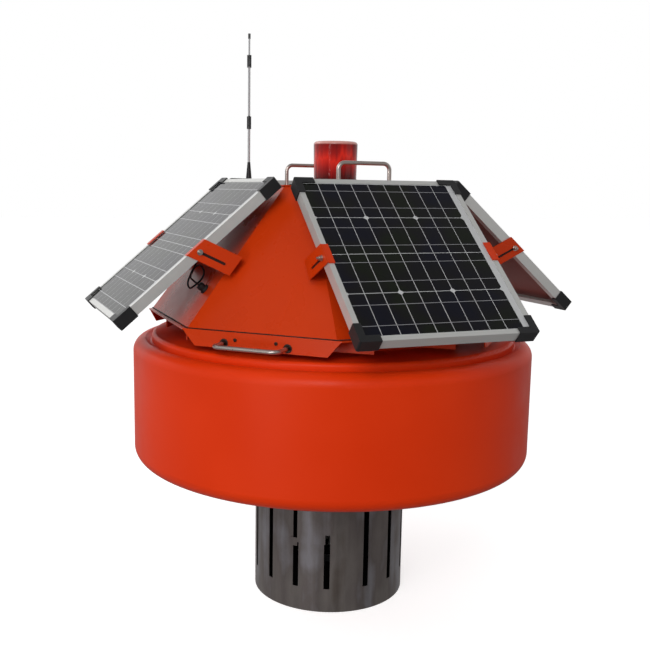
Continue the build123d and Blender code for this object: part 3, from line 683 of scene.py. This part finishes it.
# Painted reflection: the rim's pale colour stands for the sky it catches.
RIM_FROM, RIM_FULL = 0.905, 0.945  # shares of the lens's height
lens_tree = lens_red.node_tree
rim_share = lens_tree.nodes.new("ShaderNodeMapRange")
rim_share.inputs["From Min"].default_value = RIM_FROM
rim_share.inputs["From Max"].default_value = RIM_FULL
rim = lens_tree.nodes.new("ShaderNodeMix")
rim.data_type = "RGBA"
rim_inputs = [socket for socket in rim.inputs if socket.type == "RGBA"]
rim_inputs[1].default_value = (0.72, 0.34, 0.30, 1)
lens_tree.links.new(lens_share, rim_share.inputs["Value"])
lens_tree.links.new(rim_share.outputs["Result"], rim.inputs["Factor"])
lens_tree.links.new(lens_shader.inputs["Base Color"].links[0].from_socket, rim_inputs[0])
rim_output = next(socket for socket in rim.outputs if socket.type == "RGBA")
lens_tree.links.new(rim_output, lens_shader.inputs["Base Color"])
add_bump(lens_red, cloud(lens_red, 20), 0.05, 0.001)
dress("beacon_lens", lens_red)

# Beacon flutes: the moulded ribs on the lens's inner wall, as a thin red sleeve of
# upright flutes that stands inside it.
FLUTES, FLUTE_DEPTH, FLUTE_REACH, FLUTE_WALL = 36, 0.0022, 0.0528, 0.0008
flute_low, flute_high = lens_low.z + 0.004, lens_high.z - 0.011
bpy.ops.mesh.primitive_cylinder_add(
    vertices=FLUTES * 4,
    radius=FLUTE_REACH,
    depth=flute_high - flute_low,
    end_fill_type="NOTHING",
    location=(0, 0, (flute_high + flute_low) / 2),
)
flutes = bpy.context.object


def flute_line(point):
    """Which of a flute's four lines a point is on, from 0 at its ridge to 2 in it."""
    return round(math.atan2(point.y, point.x) / math.tau * FLUTES * 4) % 4


for lines, depth in (((2,), FLUTE_DEPTH), ((1, 3), FLUTE_DEPTH / 2)):
    pick(flutes, edges=lambda a, b: abs(a.z - b.z) > 0.01 and flute_line(a) in lines)
    shrink = 1 - depth / FLUTE_REACH
    bpy.ops.transform.resize(value=(shrink, shrink, 1))
bpy.ops.object.mode_set(mode="OBJECT")
skin = flutes.modifiers.new("wall", "SOLIDIFY")
skin.thickness = FLUTE_WALL
bpy.ops.object.modifier_apply(modifier=skin.name)
flute_red = new_finish("flute_red", (0.50, 0.008, 0.005), 0.15)
flute_red.node_tree.nodes["Principled BSDF"].inputs["Transmission Weight"].default_value = 0.5
add_bump(flute_red, cloud(flute_red, 60), 0.05, 0.0005)
settle(flutes, "beacon_flutes", flute_red)
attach(flutes, "buoy")
lamp_white = new_finish("lamp_white", (0.8, 0.45, 0.40), 0.3)
vary_roughness(lamp_white, cloud(lamp_white, 60), 0.25, 0.4)
dress("beacon_lamp", lamp_white)

# Antenna: a light grey glass-fibre whip with black sleeves where its lengths
# join, and a black tip.
SLEEVES = [(0.153, 0.187), (0.318, 0.351), (0.394, 0.408)]  # heights over the lid
ROD_GREY, SLEEVE_BLACK = (0.42, 0.42, 0.43), (0.012, 0.012, 0.013)
whip_grey = new_finish("whip_grey", ROD_GREY, 0.35)
whip_low, whip_high = (corner.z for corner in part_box("antenna_whip"))
whip_stops = [(0.0, ROD_GREY)]
for sleeve_low, sleeve_high in SLEEVES:
    for height, colour in ((sleeve_low, SLEEVE_BLACK), (sleeve_high, ROD_GREY)):
        whip_stops.append(((lid_top + height - whip_low) / (whip_high - whip_low), colour))
whip_stops.pop()  # the last sleeve is the tip, with no rod over it
vary_colour(whip_grey, height_share(whip_grey, whip_low, whip_high), whip_stops, "CONSTANT")
vary_roughness(whip_grey, cloud(whip_grey, 80), 0.3, 0.42)
dress("antenna_whip", whip_grey)

# Probe tips: the round heads of the sensors, of bare titanium, which stand inside
# the slotted guard.
probe_metal = new_finish("probe_metal", (0.5, 0.49, 0.47), 0.35, metallic=1.0)
vary_roughness(probe_metal, cloud(probe_metal, 80), 0.28, 0.42)
dress("probe_tips", probe_metal)

# Panel frames: extruded aluminium, anodised a plain silver and joined at the
# corners under the black caps.
anodised = new_finish("anodised", (0.66, 0.66, 0.64), 0.36, metallic=0.6)
vary_roughness(anodised, cloud(anodised, 40), 0.3, 0.42)
add_bump(anodised, cloud(anodised, 220), 0.04, 0.0003)
for side in SIDE_TURNS:
    dress(f"{side}_panel_frame", anodised)

# Laminate: dark silicon cells, cut as strips from wafers with clipped corners,
# between glass and a white backsheet, with two ribbons along each row. It is laid
# out flat about the panel's pivot, then set into each frame.
PANEL_SLOPE = 40.6
SHEET_WIDTH, SHEET_LENGTH = 0.426, 0.496
SHEET_BACK, GLASS_TOP = 0.0068, 0.0109
CELL_WIDTH, CELL_LENGTH = 0.0418, 0.1163
CELL_PITCH, ROW_PITCH = 0.0433, 0.1178
CELL_COLUMNS, CELL_ROWS = 9, 4
GROUP_COLUMNS, GROUP_ROWS = 3, 2  # modelled once, then repeated over the panel
CELL_SHIFT = -0.009  # of the cells' middle column, from the panel's middle
CLIP = 0.0045  # from a clipped corner, straight in to its cut
CORNER_RUN = CLIP * 1.414  # the same cut, along the cell's edges
LAYER = 0.00006  # steps from backsheet to cell to ribbon
RIBBON_WIDTH = 0.0015
RIBBONS = (0.029, -0.0285)  # from the middle of a row
RIBBON_STAGGER = 0.0035
GLASS_IOR = 1.24  # of the panels' antireflective glass

backsheet = new_finish("backsheet", (0.52, 0.525, 0.53), 0.5, coat=1.0, gloss=0.0)
vary_roughness(backsheet, cloud(backsheet, 60), 0.45, 0.55)
# Panel underside: a dull pink-red film colour that is painted shade and painted orange light
# bounced from the cabin.
back_painted_bounce = new_finish("back_painted_bounce", (0.42, 0.235, 0.22), 0.6, gloss=0.2)
vary_roughness(back_painted_bounce, cloud(back_painted_bounce, 60), 0.55, 0.68)
silicon = new_finish("silicon", (0.007, 0.0068, 0.0085), 0.4, coat=1.0, gloss=0.0)
vary_colour(
    silicon,
    cloud(silicon, 9, detail=2),
    [
        (0.35, (0.005, 0.0052, 0.0110)), (0.5, (0.007, 0.0066, 0.0078)),
        (0.65, (0.007, 0.0092, 0.0050)),
    ],
)
add_bump(silicon, cloud(silicon, 700), 0.03, 0.0001)
ribbon_tin = new_finish("ribbon_tin", (0.34, 0.34, 0.36), 0.35, metallic=0.5, coat=1.0)
vary_roughness(ribbon_tin, cloud(ribbon_tin, 200), 0.3, 0.45)
for glazed in (backsheet, silicon, ribbon_tin):
    glazed.node_tree.nodes["Principled BSDF"].inputs["Coat IOR"].default_value = GLASS_IOR

sheet_top = GLASS_TOP - 3 * LAYER
bpy.ops.mesh.primitive_cube_add(size=1, location=(0, 0, (SHEET_BACK + sheet_top) / 2))
sheet = bpy.context.object
sheet.scale = (SHEET_WIDTH, SHEET_LENGTH, sheet_top - SHEET_BACK)
settle(sheet, "sheet", backsheet)
sheet.data.materials.append(back_painted_bounce)
pick(sheet, faces=lambda face: face.normal.z < -0.9)
sheet.active_material_index = 1
bpy.ops.object.material_slot_assign()
pick(sheet, edges=lambda a, b: abs(a.z - b.z) > 0.001)
bpy.ops.mesh.bevel(offset=0.001, segments=2)
bpy.ops.object.mode_set(mode="OBJECT")

middle_column, middle_row = (CELL_COLUMNS - 1) / 2, (CELL_ROWS - 1) / 2
group_x = CELL_SHIFT + (1 - middle_column) * CELL_PITCH  # the group's middle column
parts = [sheet]
for row in range(GROUP_ROWS):
    row_y = (middle_row - row) * ROW_PITCH
    for column in range(GROUP_COLUMNS):
        column_x = CELL_SHIFT + (column - middle_column) * CELL_PITCH
        bpy.ops.mesh.primitive_plane_add(size=1, location=(column_x, row_y, GLASS_TOP - 2 * LAYER))
        cell = bpy.context.object
        cell.scale = (CELL_WIDTH, CELL_LENGTH, 1)
        bpy.ops.object.transform_apply(location=False, rotation=False, scale=True)
        clipped_x = (-1, 0, 1)[column]
        clipped_y = (-1, 1)[row]
        if clipped_x:
            deselect_mesh("VERT")
            for point in cell.data.vertices:
                point.select = point.co.x * clipped_x > 0 and point.co.y * clipped_y > 0
            bpy.ops.object.mode_set(mode="EDIT")
            bpy.ops.mesh.bevel(offset=CORNER_RUN, affect="VERTICES")
        settle(cell, "cell", silicon)
        parts.append(cell)
    for offset in RIBBONS:
        ribbon_y = row_y + offset + RIBBON_STAGGER * (1 - 2 * row)
        bpy.ops.mesh.primitive_plane_add(size=1, location=(0, ribbon_y, GLASS_TOP - LAYER))
        ribbon = bpy.context.object
        ribbon.scale = (CELL_PITCH * GROUP_COLUMNS, RIBBON_WIDTH, 1)
        ribbon.location.x = group_x
        settle(ribbon, "ribbon", ribbon_tin)
        parts.append(ribbon)
REPEATS = [
    ("columns", CELL_COLUMNS // GROUP_COLUMNS, (GROUP_COLUMNS * CELL_PITCH, 0, 0)),
    ("rows", CELL_ROWS // GROUP_ROWS, (0, -GROUP_ROWS * ROW_PITCH, 0)),
]
for part in parts[1:]:
    bpy.context.view_layer.objects.active = part
    for repeat_name, count, step in REPEATS:
        repeat = part.modifiers.new(repeat_name, "ARRAY")
        repeat.count = count
        repeat.use_relative_offset = False
        repeat.use_constant_offset = True
        repeat.constant_offset_displace = step
        bpy.ops.object.modifier_apply(modifier=repeat.name)
bpy.ops.object.select_all(action="DESELECT")
for part in parts:
    part.select_set(True)
bpy.context.view_layer.objects.active = sheet
bpy.ops.object.join()

panel_places = {}
for joint in frame["joints"]:
    side = joint["name"].removesuffix("_panel_tilt")
    pivot = Vector(joint["pos_m"])
    out = Vector((pivot.x, pivot.y, 0)).normalized()
    right = Vector((-out.y, out.x, 0))
    up = -out * math.cos(math.radians(PANEL_SLOPE)) + Vector(
        (0, 0, math.sin(math.radians(PANEL_SLOPE)))
    )
    place = Matrix((right, up, right.cross(up))).transposed().to_4x4()
    place.translation = pivot
    panel_places[side] = place
    laminate = set_copy(sheet, f"{side}_laminate", place, f"{side}_panel")
    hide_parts(f"{side}_panel_pane", f"{side}_panel_cells")
drop(sheet)

# Slot pads: a black strip of painted shade behind each bracket's slot, which darkens what the slot
# shows of the panel's frame.
PANEL_WIDTH = 0.430
PAD_LENGTH, PAD_HEIGHT, PAD_THICK = 0.076, 0.011, 0.0003
PAD_OFF = 0.00025  # the pad's middle, from the panel's edge
SLOT_RUN, SLOT_DROOP = 0.0655, math.radians(25.5)
bpy.ops.mesh.primitive_cube_add(size=1)
pad = bpy.context.object
pad.scale = (PAD_LENGTH, PAD_HEIGHT, PAD_THICK)
bpy.ops.object.transform_apply(location=False, rotation=False, scale=True)
pick(pad, edges=lambda a, b: abs(a.z - b.z) > PAD_THICK * 0.9)
bpy.ops.mesh.bevel(offset=PAD_HEIGHT * 0.48, segments=6)
settle(pad, "pad", seal_black)
pivot_reach, _, pivot_z = panel_places["right"].translation
inward = Vector((0, math.cos(SLOT_DROOP), -math.sin(SLOT_DROOP)))
for side, turn in SIDE_TURNS.items():
    for number, hand in enumerate((-1, 1)):
        outward = Vector((hand, 0, 0))
        place = Matrix((inward, outward.cross(inward), outward)).transposed().to_4x4()
        place.translation = outward * (PANEL_WIDTH / 2 + PAD_OFF) + inward * SLOT_RUN / 2
        place.translation += Vector((0, -pivot_reach, pivot_z))
        place = about_axis(turn) @ place
        set_copy(pad, f"{side}_slot_shade_pad_{number}", place, "buoy")
drop(pad)

# Junction-box lids: the black plastic lid with rounded corners that closes each
# junction box, moulded with a sunk middle.
BOX_WIDTH, BOX_LENGTH, BOX_DEPTH, BOX_PLACE = 0.095, 0.062, 0.017, 0.148
LID_INSET, LID_THICK = 0.0025, 0.002
bpy.ops.mesh.primitive_cube_add(
    size=1, location=(0, BOX_PLACE, SHEET_BACK - BOX_DEPTH - LID_THICK / 2)
)
box_lid = bpy.context.object
box_lid.scale = (BOX_WIDTH - 2 * LID_INSET, BOX_LENGTH - 2 * LID_INSET, LID_THICK)
bpy.ops.object.transform_apply(location=True, rotation=False, scale=True)
pick(box_lid, edges=lambda a, b: abs(a.z - b.z) > LID_THICK * 0.9)
bpy.ops.mesh.bevel(offset=0.006, segments=5)
pick(box_lid, faces=lambda face: face.normal.z < -0.9)
bpy.ops.mesh.bevel(offset=0.0006, segments=2)
pick(box_lid, faces=lambda face: face.normal.z < -0.99)
bpy.ops.mesh.inset(thickness=0.007)
bpy.ops.mesh.extrude_region_move(TRANSFORM_OT_translate={"value": (0, 0, 0.0008)})
settle(box_lid, "box_lid", black_plastic)
for side in SIDE_TURNS:
    set_copy(box_lid, f"{side}_box_lid", panel_places[side], f"{side}_panel")
drop(box_lid)

# Leads: black two-core cable from each junction box to its gland, hanging in a
# loop and a half under the panel. Its line is a smooth one through the points
# chosen for it: to the right of the side's middle, outward from the axis, up.
LEAD_DIAMETER = 0.0045
LEAD_ROUTE = [
    (0.025, 0.3435, 1.0342), (0.025, 0.3663, 1.0147), (0.090, 0.405, 0.960),
    (0.140, 0.420, 0.925), (0.150, 0.447, 0.886), (0.144, 0.440, 0.866),
    (0.126, 0.424, 0.870), (0.112, 0.398, 0.887), (0.110, 0.392, 0.907),
    (0.120, 0.408, 0.925), (0.135, 0.430, 0.911), (0.137, 0.436, 0.894),
    (0.125, 0.4263, 0.8851), (0.125, 0.4103, 0.8731),
]


def lead_line(turn):
    """The lead's line on a side of the buoy, as a NURBS curve through its points."""
    curve = bpy.data.curves.new("lead_line", "CURVE")
    curve.dimensions = "3D"
    curve.resolution_u = 12
    line = curve.splines.new("NURBS")
    line.points.add(len(LEAD_ROUTE) - 1)
    for point, (along, out, height) in zip(line.points, LEAD_ROUTE):
        point.co = (*(about_axis(turn) @ Vector((along, -out, height))), 1)
    line.order_u = 3
    line.use_endpoint_u = True
    return bpy.data.objects.new("lead_line", curve)


lead_rubber = new_finish("lead_rubber", (0.008, 0.008, 0.009), 0.5, gloss=0.35)
vary_roughness(lead_rubber, cloud(lead_rubber, 90), 0.42, 0.58)
add_bump(lead_rubber, cloud(lead_rubber, 600), 0.1, 0.0002)
for side, turn in SIDE_TURNS.items():
    guide = lead_line(turn)
    scene.collection.objects.link(guide)
    flat = bpy.data.meshes.new_from_object(guide)
    guide.data.bevel_depth = LEAD_DIAMETER / 2
    guide.data.bevel_resolution = 3
    guide.data.use_fill_caps = True
    lead = bpy.data.objects.new(f"{side}_lead", bpy.data.meshes.new_from_object(guide))
    scene.collection.objects.link(lead)
    drop(guide)
    select_only(lead)
    bpy.ops.object.shade_smooth_by_angle(angle=math.radians(50))
    lead.data.materials.append(lead_rubber)
    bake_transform(lead)
    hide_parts(f"{side}_panel_lead")

# Glands: a hexagonal body and a domed nut, both of black plastic. The nut squeezes
# a rubber ring on to the lead.
GLAND_LENGTH = 0.020
HEX_RADIUS, HEX_FOOT, HEX_HEIGHT = 0.0122, 0.0006, 0.006
DOME_RADIUS, DOME_FOOT, DOME_HEIGHT = 0.0098, 0.0105, 0.0105
bpy.ops.mesh.primitive_cylinder_add(
    vertices=6, radius=HEX_RADIUS, depth=HEX_HEIGHT, location=(0, 0, HEX_FOOT + HEX_HEIGHT / 2)
)
gland_nut = bpy.context.object
pick(gland_nut, faces=lambda face: face.normal.z > 0.9)
bpy.ops.mesh.bevel(offset=0.001, segments=2)
settle(gland_nut, "gland_nut", black_plastic)
bpy.ops.mesh.primitive_cylinder_add(
    vertices=12, radius=DOME_RADIUS, depth=DOME_HEIGHT, location=(0, 0, DOME_FOOT + DOME_HEIGHT / 2)
)
dome = bpy.context.object
pick(dome, faces=lambda face: face.normal.z > 0.9)
bpy.ops.mesh.bevel(offset=DOME_RADIUS * 0.45, segments=4)
pick(dome, faces=lambda face: face.normal.z > 0.99)
bpy.ops.mesh.inset(thickness=0.0012)
bpy.ops.mesh.extrude_region_move(TRANSFORM_OT_translate={"value": (0, 0, -0.001)})
settle(dome, "dome", black_plastic)
gland_nut.select_set(True)
bpy.context.view_layer.objects.active = gland_nut
bpy.ops.object.join()
lead_in, lead_end = (Vector((along, -out, height)) for along, out, height in LEAD_ROUTE[-2:])
axis = (lead_in - lead_end).normalized()
level = Vector((1, 0, 0))
stand = Matrix((level, axis.cross(level), axis)).transposed().to_4x4()
stand.translation = lead_end - axis * GLAND_LENGTH
for side, turn in SIDE_TURNS.items():
    place = about_axis(turn) @ stand
    set_copy(gland_nut, f"{side}_gland_nut", place, "buoy")
drop(gland_nut)
